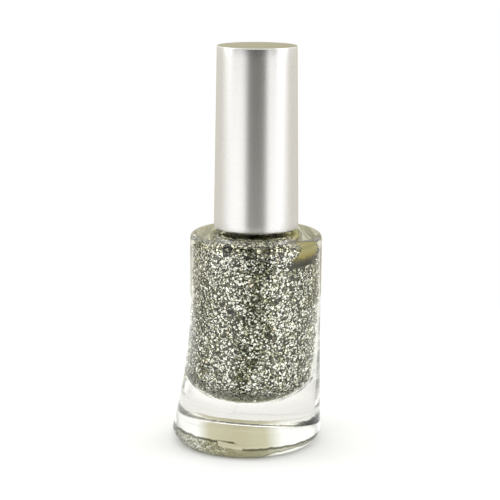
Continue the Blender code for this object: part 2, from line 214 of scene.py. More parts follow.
# Studio: how bright each heading is, from 0 at the camera to 1 behind the object.
KHAKI = (0.50, 0.47, 0.31)
KHAKI_EDGE = (0.55, 0.525, 0.37)
STUDIO_ROUND = [
    (0.00, (0.13, 0.13, 0.115)),
    (0.12, (0.14, 0.14, 0.125)),
    (0.19, (1.20, 1.20, 1.20)),
    (0.37, (1.20, 1.20, 1.20)),
    (0.45, (0.96, 0.955, 0.94)),
    (0.52, (0.74, 0.725, 0.69)),
    (0.62, (0.64, 0.62, 0.57)),
    (0.82, (0.68, 0.655, 0.60)),
    (0.90, KHAKI_EDGE),
    (1.00, KHAKI),
]
STUDIO_FLOOR = [(0.00, (0.30, 0.30, 0.28)), (0.12, (0.33, 0.33, 0.31))] + STUDIO_ROUND[2:]
STUDIO_UPPER = [
    (0.00, (0.045, 0.045, 0.04)),
    (0.20, (0.05, 0.05, 0.04)),
    (0.24, (0.90, 0.90, 0.88)),
    (0.28, (0.06, 0.06, 0.05)),
    (0.36, (0.06, 0.06, 0.05)),
    (0.42, (2.40, 2.40, 2.40)),
    (0.52, (2.40, 2.40, 2.40)),
    (0.60, (0.60, 0.60, 0.58)),
    (0.68, (0.98, 0.98, 0.96)),
    (0.85, (0.98, 0.98, 0.96)),
    (0.91, KHAKI_EDGE),
    (1.00, KHAKI),
]
STUDIO_HIGH = [(0.00, (0.36, 0.36, 0.34)), (0.34, (0.36, 0.36, 0.34))] + STUDIO_UPPER[5:]
STUDIO_OVERHEAD = (1.65, 1.65, 1.65)
STUDIO_ZENITH = (0.72, 0.72, 0.72)
STUDIO_STRENGTH = 1.15

# Where one part of the studio gives way to the next, as the sine of the elevation.
FLOOR_TO_ROUND = (-0.20, -0.08)
ROUND_TO_UPPER = (-0.05, 0.06)
UPPER_TO_HIGH = (0.26, 0.34)
HIGH_TO_OVERHEAD = (0.50, 0.66)
OVERHEAD_TO_ZENITH = (0.66, 1.0)
STUDIO_TURN = 0.015
UPPER_TURN = 0.10

TABLE_RADIUS = 125 * MM
TABLE_EDGE = 2 * MM
TABLE_DROP = -0.02 * MM


# Mesh helpers.


def add_object(name, mesh, *materials):
    obj = bpy.data.objects.new(name, mesh)
    bpy.context.scene.collection.objects.link(obj)
    for material in materials:
        mesh.materials.append(material)
    return obj


def finished(shape, name):
    """A mesh of a bmesh, which is freed."""
    mesh = bpy.data.meshes.new(name)
    shape.to_mesh(mesh)
    shape.free()
    return mesh


def shade(mesh, angle=35.0):
    mesh.shade_smooth()
    mesh.set_sharp_from_angle(angle=radians(angle))


def arc(centre, radius, start, end, steps):
    """Points (r, z) on an arc, in degrees, counted from the +r direction towards +z."""
    angles = [radians(start + (end - start) * i / steps) for i in range(steps + 1)]
    return [(centre[0] + radius * cos(a), centre[1] + radius * sin(a)) for a in angles]


def spaced(start, end, steps):
    return [start + (end - start) * i / steps for i in range(steps + 1)]


def turned_mesh(name, rows, steps=ROUND_STEPS, bump=None, ring=False):
    """Turn rows (r, z, x of the row's centre) about upright axes into a closed mesh.

    The rows run down the outer side. A hollow body runs up its inside first. A ring is joined
    end to end. bump(r, angle, z) gives a new radius.
    """
    shape = bmesh.new()
    rings = []
    for r, z, x in rows:
        if r <= 0.0:
            rings.append([shape.verts.new((x, 0.0, z))])
            continue
        verts = []
        for i in range(steps):
            angle = FULL_TURN * i / steps
            radius = bump(r, angle, z) if bump else r
            verts.append(shape.verts.new((x + radius * cos(angle), radius * sin(angle), z)))
        rings.append(verts)
    if ring:
        rings.append(rings[0])
    for upper, lower in zip(rings, rings[1:]):
        for i in range(steps):
            j = (i + 1) % steps
            corners = [upper[i % len(upper)], lower[i % len(lower)]]
            if len(lower) > 1:
                corners.append(lower[j])
            if len(upper) > 1:
                corners.append(upper[j])
            shape.faces.new(corners)
    return finished(shape, name)


def centred(profile, centre=None):
    """Give each (r, z) point of a profile its row's centre, on the neck axis or from centre(z)."""
    return [(r, z, centre(z) if centre else NECK_X) for r, z in profile]


def turned(name, profile, material, steps=ROUND_STEPS, bump=None, ring=False):
    mesh = turned_mesh(name, centred(profile), steps, bump, ring)
    shade(mesh)
    return add_object(name, mesh, material)


# Material helpers.


class Tree:
    """A node tree, and short ways to add nodes to it."""

    def __init__(self, tree):
        self.tree = tree

    def add(self, kind, values=None, **links):
        node = self.tree.nodes.new(kind)
        for key, value in (values or {}).items():
            if key in node.inputs:
                node.inputs[key].default_value = value
            else:
                setattr(node, key, value)
        for key, socket in links.items():
            self.tree.links.new(socket, node.inputs[key])
        return node

    def ramp(self, socket, stops):
        """A colour ramp with (position, colour) stops."""
        node = self.add("ShaderNodeValToRGB", Fac=socket)
        elements = node.color_ramp.elements
        while len(elements) < len(stops):
            elements.new(0.5)
        for element, (position, colour) in zip(elements, stops):
            element.position = position
            element.color = (*colour, 1.0)
        return node.outputs["Color"]

    def split(self, vector):
        return self.add("ShaderNodeSeparateXYZ", Vector=vector).outputs

    def fill(self, node, values):
        """Set a node's inputs, in order, from sockets and plain values."""
        for socket, value in zip(node.inputs, values):
            if isinstance(value, (float, tuple)):
                socket.default_value = value
            else:
                self.tree.links.new(value, socket)
        return node.outputs[0]

    def math(self, operation, *values):
        """A Math node of sockets and plain numbers."""
        return self.fill(self.add("ShaderNodeMath", {"operation": operation}), values)

    def vector(self, operation, *values):
        """A Vector Math node of sockets and plain triples."""
        return self.fill(self.add("ShaderNodeVectorMath", {"operation": operation}), values)

    def product(self, first, *others):
        for other in others:
            first = self.math("MULTIPLY", first, other)
        return first

    def mixed(self, share, low, high):
        """A blend of two colours."""
        node = self.add("ShaderNodeMix", {"data_type": "RGBA"})
        for index, socket in ((0, share), (6, low), (7, high)):
            self.tree.links.new(socket, node.inputs[index])
        return node.outputs[2]

    def range(self, socket, low, high, start=0.0, end=1.0):
        """Map a value from start..end onto low..high."""
        values = {"From Min": start, "From Max": end, "To Min": low, "To Max": high}
        return self.add("ShaderNodeMapRange", values, Value=socket).outputs["Result"]

    def rise(self, socket, start, end):
        """0 up to start, 1 from end."""
        return self.range(socket, 0.0, 1.0, start, end)

    def fall(self, socket, start, end):
        """1 up to start, 0 from end."""
        return self.range(socket, 1.0, 0.0, start, end)


class Nodes(Tree):
    """A material's node tree, with one Principled shader."""

    def __init__(self, name):
        self.material = bpy.data.materials.new(name)
        self.material.use_nodes = True
        super().__init__(self.material.node_tree)
        self.shader = self.tree.nodes["Principled BSDF"]
        self.place = self.tree.nodes.new("ShaderNodeTexCoord").outputs["Object"]

    def set(self, **values):
        for key, value in values.items():
            self.shader.inputs[key.replace("_", " ")].default_value = value

    def link(self, socket, name):
        self.tree.links.new(socket, self.shader.inputs[name])

    def noise(self, scale, detail=4.0, rough=0.55):
        values = {"Scale": scale, "Detail": detail, "Roughness": rough}
        return self.add("ShaderNodeTexNoise", values, Vector=self.place).outputs["Fac"]

    def bump(self, socket, strength, distance):
        values = {"Strength": strength, "Distance": distance}
        node = self.add("ShaderNodeBump", values, Height=socket)
        self.link(node.outputs["Normal"], "Normal")


# Materials.


def wetted_glass_material():
    """Glass that lacquer wets: clear, with the faint waves that a mould leaves."""
    nodes = Nodes("wetted_glass")
    tint = (*LACQUER_TINT, 1.0)
    ior = GLASS_IOR / LACQUER_IOR
    nodes.set(Roughness=0.0, IOR=ior, Transmission_Weight=1.0, Base_Color=tint)
    waves = nodes.noise(WAVE_SCALE, 2.0, 0.4)
    nodes.bump(waves, WAVE_STRENGTH, GLASS_BUMP)
    return nodes.material


def heel_stipple(nodes, x, y, z):
    """How much the heel's stipple and its painted shade show, how far it is past its painted dark
    line, and its raggedness.

    It reaches higher on the flared side, thins to a line above a clear rim on the other side,
    and has ragged edges.
    """
    ragged = nodes.range(nodes.noise(500.0, 4.0, 0.6), *RAGGED_EDGE)
    limit = nodes.range(x, *STIPPLE_HEIGHTS, *STIPPLE_STEP_X)
    below = nodes.math("SUBTRACT", nodes.math("ADD", limit, ragged), z)
    across = nodes.math("MULTIPLY_ADD", x, x, nodes.math("MULTIPLY", y, y))
    outside = nodes.rise(across, (HEEL_INNER - HEEL_FADE) ** 2, (HEEL_INNER + HEEL_FADE) ** 2)
    rim = nodes.range(x, *RIM_HEIGHTS, *RIM_X)
    over_rim = nodes.math("SUBTRACT", nodes.math("ADD", z, ragged), rim)
    amount = nodes.product(
        nodes.rise(below, 0.0, STIPPLE_LINE), outside, nodes.rise(over_rim, -RIM_FADE, 0.0)
    )
    return amount, nodes.rise(below, STIPPLE_LINE * 0.8, STIPPLE_LINE), ragged


def heel_highlight_facet(nodes, x, z, ragged):
    """A smooth facet in the stipple, with a painted highlight: a low slanting patch with ragged
    ends.
    """
    along = nodes.math("ADD", x, nodes.math("MULTIPLY", ragged, FACET_LEAN))
    along = nodes.math("ABSOLUTE", nodes.math("SUBTRACT", along, FACET_PLACE))
    high = nodes.math("SUBTRACT", z, nodes.math("MULTIPLY_ADD", x, FACET_SLOPE, FACET_HEIGHT))
    high = nodes.math("ABSOLUTE", high)
    return nodes.product(
        nodes.fall(along, *FACET_HALF_LENGTH), nodes.fall(high, *FACET_HALF_HEIGHT)
    )


def body_glass_material():
    """The body's glass, with a greyer band low down and a painted reflection on the shoulder, by
    height. Round the heel it is stippled and painted with shade.

    The painted shade starts with a dark line and has dark specks on the flared side. Bright specks
    there and one facet that has stayed smooth take painted highlights. It fades towards the back.
    """
    nodes = Nodes("clear_glass")
    nodes.set(IOR=GLASS_IOR, Transmission_Weight=1.0)
    x, y, z = nodes.split(nodes.place)
    amount, inner, ragged = heel_stipple(nodes, x, y, z)
    facet = heel_highlight_facet(nodes, x, z, ragged)
    front = nodes.range(y, 1.0, BACK_SHARE, *FRONT_Y)
    flared = nodes.fall(x, *SPECK_X)
    bright = nodes.rise(nodes.noise(1500.0, 3.0, 0.6), *HIGHLIGHT_SPECKS)
    bright = nodes.product(bright, flared, inner)
    dark = nodes.range(nodes.noise(1900.0, 3.0, 0.6), 0.0, 0.5, *SHADE_SPECKS)
    dark = nodes.product(dark, flared, inner)

    # Painted shade of the heel: olive-grey, with a dark line and dark specks.
    tint = nodes.ramp(nodes.math("SUBTRACT", amount, dark), STIPPLE_SHADE_STOPS)
    # Painted highlights, with a dark outline, on the smooth facet and in the bright specks.
    tint = nodes.mixed(facet, tint, nodes.ramp(facet, [(0.0, STIPPLE_SHADE_DARK), (0.9, WHITE)]))
    tint = nodes.mixed(bright, tint, nodes.ramp(bright, [(0.0, GLASS_TINT), (1.0, WHITE)]))
    plain = nodes.ramp(nodes.rise(z, *TINT_LEVELS), TINT_STOPS)
    tint = nodes.mixed(nodes.rise(z, *STIPPLE_END), tint, plain)
    nodes.link(nodes.mixed(front, plain, tint), "Base Color")

    smooth = nodes.math("MAXIMUM", bright, facet)
    mask = nodes.product(amount, front, nodes.math("SUBTRACT", 1.0, smooth))
    nodes.link(nodes.range(mask, 0.0, STIPPLE_ROUGHNESS), "Roughness")
    pits = nodes.math("MULTIPLY", mask, nodes.noise(2600.0, 2.0, 0.6))
    waves = nodes.math("MULTIPLY", nodes.noise(WAVE_SCALE, 2.0, 0.4), WAVE_STRENGTH)
    nodes.bump(nodes.math("MULTIPLY_ADD", pits, 0.5, waves), 1.0, GLASS_BUMP)
    return nodes.material


def satin_material():
    """Satin silver sleeve: a metal coat with a fine, even grain, and painted shade darkening the
    closed end.
    """
    nodes = Nodes("satin_silver")
    nodes.set(Metallic=1.0)
    grain = nodes.noise(5200.0, 3.0, 0.6)
    clouds = nodes.noise(140.0, 3.0, 0.5)
    tint = nodes.ramp(grain, [(0.30, (0.75, 0.74, 0.725)), (0.70, (0.84, 0.83, 0.815))])
    # Painted shade on the closed end.
    end = nodes.ramp(grain, [(0.30, (0.52, 0.51, 0.48)), (0.70, (0.62, 0.61, 0.58))])
    on_shaded_end = nodes.rise(nodes.split(nodes.place)[2], *CAP_SHADED_END_LEVELS)
    nodes.link(nodes.mixed(on_shaded_end, tint, end), "Base Color")
    nodes.link(nodes.range(clouds, 0.25, 0.31), "Roughness")
    nodes.bump(grain, 0.10, FINE_BUMP)
    return nodes.material


def lacquer_material():
    """The lacquer's murk behind its flakes: olive-grey, with finer glitter as cells of its own,
    and smooth at the bottom of the cavity, where no flakes lie."""
    nodes = Nodes("glitter_lacquer")
    nodes.set(Metallic=1.0)
    cells = nodes.add("ShaderNodeTexVoronoi", {"Scale": 4600.0}, Vector=nodes.place)
    pick = nodes.add("ShaderNodeSeparateColor", Color=cells.outputs["Color"])
    stops = [
        (0.0, (0.01, 0.01, 0.005)),
        (0.45, (0.06, 0.06, 0.03)),
        (0.65, (0.22, 0.22, 0.12)),
        (0.85, (0.66, 0.66, 0.54)),
    ]
    tint = nodes.ramp(pick.outputs["Red"], stops)
    flaky = nodes.rise(nodes.split(nodes.place)[2], *FLAKY_LEVELS)
    clear = [(0.3, (0.50, 0.50, 0.36)), (0.7, (0.64, 0.64, 0.48))]
    nodes.link(nodes.mixed(flaky, nodes.ramp(nodes.noise(300.0), clear), tint), "Base Color")
    rough = nodes.range(pick.outputs["Green"], 0.08, 0.22)
    settled = nodes.math("SUBTRACT", 1.0, flaky)
    nodes.link(nodes.math("MULTIPLY_ADD", settled, 0.3, rough), "Roughness")

    # Each cell turns its own way.
    span, low = (MURK_TILT * 2,) * 3, (-MURK_TILT,) * 3
    tilt = nodes.vector("MULTIPLY_ADD", cells.outputs["Color"], span, low)
    calm = nodes.add("ShaderNodeVectorMath", {"operation": "SCALE"}, Scale=flaky)
    nodes.tree.links.new(tilt, calm.inputs[0])
    normal = nodes.add("ShaderNodeNewGeometry").outputs["Normal"]
    turned_normal = nodes.vector("ADD", normal, calm.outputs["Vector"])
    nodes.link(nodes.vector("NORMALIZE", turned_normal), "Normal")
    return nodes.material


def flake_material(name, light, dark, rough):
    """Glitter flakes: foil whose shade varies from flake to flake."""
    nodes = Nodes(name)
    nodes.set(Metallic=1.0)
    blotch = nodes.noise(2600.0, 1.0, 0.5)
    nodes.link(nodes.ramp(blotch, [(0.35, dark), (0.62, light)]), "Base Color")
    nodes.link(nodes.range(blotch, rough, rough + 0.08), "Roughness")
    return nodes.material


def plastic_material(name, light, dark, rough, scale=900.0, metallic=0.0):
    """Moulded plastic or plain metal: a soft mottle and a fine texture."""
    nodes = Nodes(name)
    nodes.set(Metallic=metallic)
    mottle = nodes.noise(scale, 5.0, 0.6)
    nodes.link(nodes.ramp(mottle, [(0.3, dark), (0.7, light)]), "Base Color")
    nodes.link(nodes.range(mottle, rough, rough + 0.12), "Roughness")
    nodes.bump(mottle, 0.15, FINE_BUMP)
    return nodes.material


# Glass body.


def flare(z):
    """0 on the straight part of the body, 1 at the widest level of the foot."""
    share = (STRAIGHT_ABOVE - z) / (STRAIGHT_ABOVE - WIDEST_HEIGHT)
    return min(max(share, 0.0), 1.0) ** FLARE_POWER


def body_radius(z):
    return SHOULDER_RADIUS + (FOOT_RADIUS - SHOULDER_RADIUS) * flare(z)


def body_centre(z):
    return NECK_X * (1.0 - flare(z))


def cavity_centre(z):
    share = (STRAIGHT_ABOVE - z) / (STRAIGHT_ABOVE - CAVITY_FLOOR)
    return NECK_X - CAVITY_LEAN * min(max(share, 0.0), 1.0) ** CAVITY_LEAN_POWER


def cavity_wall(gap=0.0):
    """The cavity's outline below STRAIGHT_ABOVE, drawn in by a gap: wall, then round bowl."""
    points = []
    for z in spaced(STRAIGHT_ABOVE, CAVITY_CORNER, 16):
        share = (STRAIGHT_ABOVE - z) / (STRAIGHT_ABOVE - CAVITY_CORNER)
        radius = CAVITY_RADIUS + (CAVITY_LOW_RADIUS - CAVITY_RADIUS) * share
        points.append((radius - gap, z))
    depth = CAVITY_CORNER - CAVITY_FLOOR - gap
    for angle in spaced(0.0, pi / 2, 20)[1:-1]:
        points.append(((CAVITY_LOW_RADIUS - gap) * cos(angle), CAVITY_CORNER - depth * sin(angle)))
    points.append((0.0, CAVITY_FLOOR + gap))
    return points


def cavity_shoulder(gap=0.0, start=80.0):
    centre = (CAVITY_RADIUS - CAVITY_SHOULDER_ROUND, CAVITY_SHOULDER - CAVITY_SHOULDER_ROUND)
    return arc(centre, CAVITY_SHOULDER_ROUND - gap, start, 0.0, 16)


def body_profile():
    """The outer outline of body and neck, from the lip down to the centre of the recess."""
    lip = arc((NECK_RADIUS - LIP_ROUND, LIP_TOP - LIP_ROUND), LIP_ROUND, 90, 0, 8)
    root_z = SHOULDER_TOP + SHOULDER_RISE + NECK_ROOT_ROUND
    neck = [(NECK_RADIUS, z) for z in spaced(LIP_TOP - LIP_ROUND, root_z, 72)[1:-1]]
    root = arc((NECK_RADIUS + NECK_ROOT_ROUND, root_z), NECK_ROOT_ROUND, 180, 262, 8)
    round_z = SHOULDER_TOP - SHOULDER_ROUND
    edge = arc((SHOULDER_RADIUS - SHOULDER_ROUND, round_z), SHOULDER_ROUND, 86, 0, 12)
    side = [(body_radius(z), z) for z in spaced(STRAIGHT_ABOVE, WIDEST_HEIGHT, 32)]
    width = (FOOT_RADIUS - HEEL_OUTER) / cos(HEEL_CREASE)
    height = WIDEST_HEIGHT / (1.0 - sin(HEEL_CREASE))
    heel = []
    for angle in spaced(HEEL_CREASE, pi / 2, 14)[1:]:
        heel.append((HEEL_OUTER + width * cos(angle), height * (1.0 - sin(angle))))
    recess = arc((HEEL_INNER, RECESS_DEPTH * 0.5), RECESS_DEPTH * 0.5, 270, 180, 4)
    recess += [(RECESS_RADIUS, RECESS_DEPTH)]
    return lip + neck + root + edge + side + heel + recess + [(0.0, RECESS_DEPTH)]


def thread_height(angle, z, start):
    """How far a thread ridge stands out, from 0 to 1, at an angle and a height."""
    turned_by = (angle - THREAD_START_ANGLE) / FULL_TURN
    best = 0.0
    for turn in range(-1, int(THREAD_TURNS) + 2):
        along = turned_by + turn
        if not 0.0 <= along <= THREAD_TURNS:
            continue
        off = abs(z - (start + THREAD_PITCH * along)) / THREAD_HALF_WIDTH
        run_in = min(1.0, min(along, THREAD_TURNS - along) / THREAD_RUN_IN_TURNS)
        best = max(best, run_in * max(0.0, 1.0 - off * off))
    return best


def neck_bump(r, angle, z):
    if z < THREAD_START - THREAD_PITCH or abs(r - NECK_RADIUS) > SAME_RADIUS:
        return r
    return r + NECK_THREAD_HEIGHT * thread_height(angle, z, THREAD_START)


def make_bottle():
    """Closed glass body. Where lacquer wets the cavity's wall, the wall bends light far less."""
    cavity = list(reversed(cavity_wall())) + list(reversed(cavity_shoulder()))
    bevel = 0.3 * MM
    heights = [BORE_END] + spaced(44 * MM, LIP_TOP - bevel, 4)
    bore = [(BORE_RADIUS, z) for z in heights] + [(BORE_RADIUS + bevel, LIP_TOP)]
    rows = centred(cavity + bore, cavity_centre) + centred(body_profile(), body_centre)
    mesh = turned_mesh("glass_body", rows, bump=neck_bump)
    shade(mesh)
    bottle = add_object("glass_body", mesh, body_glass_material(), wetted_glass_material())
    wet_faces = (len(cavity) - 1) * ROUND_STEPS
    for face in list(mesh.polygons)[:wet_faces]:
        face.material_index = 1
    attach(bottle, "bottle")
    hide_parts("bottle")


# Lacquer and glitter.


def make_lacquer(material):
    """The lacquer's opaque depth, a little inside the wall that its flakes float along."""
    wall = cavity_wall(MURK_DEPTH)
    rise = [(CAVITY_RADIUS - MURK_DEPTH, z) for z in spaced(FILL_LEVEL, STRAIGHT_ABOVE, 6)[:-1]]
    rows = centred([(0.0, FILL_LEVEL)] + rise + wall, cavity_centre)
    mesh = turned_mesh("lacquer", rows)
    shade(mesh)
    lacquer = add_object("lacquer", mesh, material)
    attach(lacquer, "bottle")
    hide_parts("polish")


def amber_reflection_material():
    """Lacquer drained from one side of the wall, with a painted amber reflection, darker low down.
    """
    nodes = Nodes("painted_amber_reflection")
    nodes.set(IOR=LACQUER_IOR)
    mottle = nodes.noise(1100.0, 5.0, 0.65)
    share = nodes.rise(nodes.split(nodes.place)[2], *AMBER_REFLECTION_LEVELS)
    share = nodes.math("ADD", share, nodes.range(mottle, -0.25, 0.25))
    stops = [
        (0.0, (0.07, 0.065, 0.02)),
        (0.25, (0.20, 0.17, 0.05)),
        (0.5, (0.80, 0.66, 0.18)),
        (1.0, (1.0, 0.94, 0.52)),
    ]
    nodes.link(nodes.ramp(share, stops), "Base Color")
    nodes.link(nodes.range(mottle, 0.25, 0.5), "Roughness")
    nodes.bump(mottle, 0.4, AMBER_BUMP)
    return nodes.material


def in_amber_patch(turn, z, ragged):
    """Where the wall above the fill level has no flakes: a slanting patch right of the front."""
    share = (z - AMBER_LEVELS[0]) / (AMBER_LEVELS[1] - AMBER_LEVELS[0])
    middle = AMBER_ANGLES[0] + (AMBER_ANGLES[1] - AMBER_ANGLES[0]) * share
    away = np.abs(np.angle(np.exp(1j * (turn - middle))))
    return (away < AMBER_HALF_WIDTH + ragged) & (share > 0.0) & (share < 1.0)


def make_film(material):
    """The murk's shell above the fill level, up to the neck."""
    heights = spaced(FILL_LEVEL - FILM_OVERLAP, FILM_BEND, 8)
    rise = [(CAVITY_RADIUS - MURK_DEPTH, z) for z in heights]
    curve = list(reversed(cavity_shoulder(MURK_DEPTH)))
    end = (FILM_END_RADIUS, CAVITY_SHOULDER - MURK_DEPTH + FILM_END_RISE)
    profile = rise + curve[1:] + [end]
    shape = bmesh.new()
    rings = []
    for r, z in profile:
        angles = spaced(0.0, FULL_TURN, ROUND_STEPS)[:-1]
        rings.append([shape.verts.new((NECK_X + r * cos(a), r * sin(a), z)) for a in angles])
    rng = np.random.default_rng(5)
    for lower, upper in zip(rings, rings[1:]):
        for i in range(ROUND_STEPS):
            j = (i + 1) % ROUND_STEPS
            face = shape.faces.new([lower[i], lower[j], upper[j], upper[i]])
            place = face.calc_center_median()
            turn = atan2(place.y, place.x - NECK_X)
            ragged = rng.normal() * FILM_RAGGED
            face.material_index = int(in_amber_patch(turn, place.z, ragged))
    bmesh.ops.solidify(shape, geom=shape.faces[:], thickness=FILM_THICKNESS)
    bmesh.ops.recalc_face_normals(shape, faces=shape.faces[:])
    mesh = finished(shape, "lacquer_film")
    shade(mesh)
    # The bare patch takes the painted amber reflection.
    film = add_object("lacquer_film", mesh, material, amber_reflection_material())
    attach(film, "bottle")


def wall_samples(profile, count, rng):
    """Points (r, z) spread evenly over the surface that a profile turns, with its outward slope."""
    points = np.array(profile)
    steps = np.diff(points, axis=0)
    lengths = np.hypot(steps[:, 0], steps[:, 1])
    weights = lengths * (points[:-1, 0] + points[1:, 0]) / 2
    pick = rng.choice(len(weights), size=count, p=weights / weights.sum())
    along = rng.random(count)
    place = points[pick] + steps[pick] * along[:, None]
    normal = np.stack([-steps[pick, 1], steps[pick, 0]], axis=1) / lengths[pick, None]
    return place, normal


def flake_mesh(name, centres, normals, sizes, rng):
    """Six-sided flakes at the centres, each turned at random about its normal."""
    side = rng.normal(size=normals.shape)
    side -= normals * np.sum(side * normals, axis=1, keepdims=True)
    side /= np.linalg.norm(side, axis=1, keepdims=True)
    other = np.cross(normals, side)
    corners = []
    for angle in [FULL_TURN / FLAKE_SIDES * i for i in range(FLAKE_SIDES)]:
        offset = side * cos(angle) + other * sin(angle)
        corners.append(centres + offset * sizes[:, None])
    verts = np.stack(corners, axis=1).reshape(-1, 3)
    faces = np.arange(len(verts)).reshape(-1, FLAKE_SIDES)
    mesh = bpy.data.meshes.new(name)
    mesh.from_pydata(verts.tolist(), [], faces.tolist())
    return mesh


def crowding(turn, z):
    """How thick the flakes lie, from about -1 to 1, as slow waves round and up the wall."""
    rng = np.random.default_rng(23)
    total = np.zeros(len(z))
    for _ in range(CROWD_WAVES):
        around = rng.integers(*CROWD_AROUND)
        up = rng.normal() * CROWD_RISE / MM
        total += np.cos(around * turn + up * z + rng.random() * FULL_TURN)
    return total / CROWD_WAVES**0.5


def make_flakes(name, profile, count, seed, level=0.0):
    """Flakes inside a wall, tilted at random and lying in clusters. level turns them upright."""
    rng = np.random.default_rng(seed)
    place, slope = wall_samples(profile, count, rng)
    turn = rng.random(count) * FULL_TURN
    smallest, largest = FLAKE_SIZES
    size = smallest + (largest - smallest) * rng.random(count) ** FLAKE_SIZE_POWER
    depth = size + rng.random(count) ** FLAKE_DEPTH_POWER * FLAKE_DEPTH
    radius = place[:, 0] - slope[:, 0] * depth
    z = place[:, 1] - slope[:, 1] * depth
    centre = np.array([cavity_centre(v) for v in z])
    across, along = np.cos(turn), np.sin(turn)
    centres = np.stack([centre + radius * across, radius * along, z], axis=1)
    outward = np.stack([slope[:, 0] * across, slope[:, 0] * along, slope[:, 1]], axis=1)
    tilt = np.where(rng.random(count) < LOOSE_FLAKES, LOOSE_TILT, FLAKE_TILT)
    outward[:, 2] *= 1.0 - level
    outward /= np.linalg.norm(outward, axis=1, keepdims=True)
    normals = outward + rng.normal(size=outward.shape) * tilt[:, None]
    normals /= np.linalg.norm(normals, axis=1, keepdims=True)
    kind = rng.choice(len(FLAKE_SHARES), size=count, p=FLAKE_SHARES)
    crowd = FLAKES_KEPT + KEPT_SWING * crowding(turn, z)
    kept = rng.random(count) < np.clip(crowd, FEWEST_FLAKES, 1.0)
    kept &= ~in_amber_patch(turn, z, rng.normal(size=count) * FLAKES_RAGGED)
    height = (z - CAVITY_FLOOR - BARE_BOTTOM) / BARE_BOTTOM - BARE_LEAN * np.cos(turn)
    kept &= rng.random(count) < np.clip(height, FEWEST_AT_BOTTOM, 1.0)
    mesh = flake_mesh(name, centres[kept], normals[kept], size[kept], rng)
    flakes = add_object(name, mesh, *FLAKE_MATERIALS)
    mesh.polygons.foreach_set("material_index", kind[kept].astype(np.int32))
    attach(flakes, "bottle")


# Closure.


def cap_radius(z):
    top_radius = CAP_RIM_RADIUS * CAP_TAPER
    share = (z - CAP_LOW.z) / (CAP_HIGH.z - CAP_LOW.z)
    return CAP_RIM_RADIUS + (top_radius - CAP_RIM_RADIUS) * share


def make_overcap():
    wall = 0.6 * MM
    edge = 0.2 * MM
    top_radius = cap_radius(CAP_HIGH.z)
    top = arc((top_radius - edge, CAP_HIGH.z - edge), edge, 90, 1, 8)
    low, high = CAP_LOW.z + 2 * MM, CAP_HIGH.z - 2 * MM
    side = [(cap_radius(z), z) for z in spaced(high, low, 8)]
    rim = arc((CAP_RIM_RADIUS - wall / 2, CAP_LOW.z + wall / 2), wall / 2, 0, -180, 10)
    inside = [(cap_radius(z) - wall, z) for z in spaced(low, high, 6)]
    under = [(top_radius - wall, CAP_HIGH.z - wall), (0.0, CAP_HIGH.z - wall)]
    profile = [(0.0, CAP_HIGH.z)] + top + side + rim + inside + under
    sleeve = turned("satin_sleeve", profile, satin_material())
    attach(sleeve, "cap")
    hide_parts("overcap")


def make_inner_cap(material):
    """Threaded closure: skirt with a ridge inside, ceiling, ribbed post and the brush's socket."""
    skirt_bore, skirt_outer = 6.79 * MM, 7.29 * MM
    ceiling, ceiling_top = 56.5 * MM, 57.7 * MM
    post_outer, post_inner = 5.9 * MM, 5.1 * MM
    socket_outer, socket_inner = 2.89 * MM, 2.01 * MM
    socket_end, socket_top = STEM_HIGH.z + 0.3 * MM, 63.4 * MM
    bore_end = 54.0 * MM
    bevel, rib_count, rib_half_width, rib_gap = 0.2 * MM, 10, 0.065, 0.92 * MM
    low, high = INNER_LOW.z, INNER_HIGH.z

    def bump(r, angle, z):
        if abs(r - skirt_bore) < SAME_RADIUS:
            return r - CAP_THREAD_HEIGHT * thread_height(angle, z, THREAD_START - THREAD_PITCH / 2)
        if abs(r - post_outer) < SAME_RADIUS and ceiling_top < z < high - 0.9 * MM:
            from_rib = abs((angle * rib_count / FULL_TURN + 0.5) % 1.0 - 0.5)
            if from_rib < rib_half_width:
                return cap_radius(z) - rib_gap
        return r

    outer_post = [(post_outer, z) for z in spaced(high - 0.25 * MM, ceiling_top + 0.8 * MM, 8)]
    profile = [
        (0.0, socket_top),
        (socket_outer - bevel, socket_top),
        (socket_outer, socket_top - bevel),
        (socket_outer, ceiling_top),
        (post_inner, ceiling_top),
        (post_inner, high - bevel),
        (post_inner + bevel, high),
        (post_outer - bevel, high),
    ]
    profile += outer_post
    profile += [(skirt_outer, ceiling_top), (skirt_outer, low + bevel)]
    profile += [(skirt_outer - bevel, low), (skirt_bore + bevel / 2, low)]
    profile += [(skirt_bore, z) for z in spaced(low + bevel, bore_end, 64)]
    profile += [(skirt_bore, ceiling), (socket_inner, ceiling), (socket_inner, socket_end)]
    profile += [(0.0, socket_end)]
    cap = turned("threaded_closure", profile, material, bump=bump)
    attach(cap, "cap")
    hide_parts("inner_cap")


def make_gasket(material):
    """Foam washer with softened edges and the groove that the glass lip leaves in it."""
    inner, outer, soft = 3.85 * MM, 5.85 * MM, 0.12 * MM
    groove_half_width, groove_depth = 0.5 * MM, 0.08 * MM
    low, high = GASKET_LOW.z, GASKET_HIGH.z
    profile = arc((outer - soft, high - soft), soft, 90, 0, 4)
    profile += arc((outer - soft, low + soft), soft, 0, -90, 4)
    groove = (inner + outer) / 2
    profile += [(groove + groove_half_width, low), (groove, low + groove_depth)]
    profile += [(groove - groove_half_width, low)]
    profile += arc((inner + soft, low + soft), soft, -90, -180, 4)
    profile += arc((inner + soft, high - soft), soft, 180, 90, 4)
    gasket = turned("gasket_washer", profile, material, steps=96, ring=True)
    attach(gasket, "gasket")
    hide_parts("sealing_gasket")


# Brush.


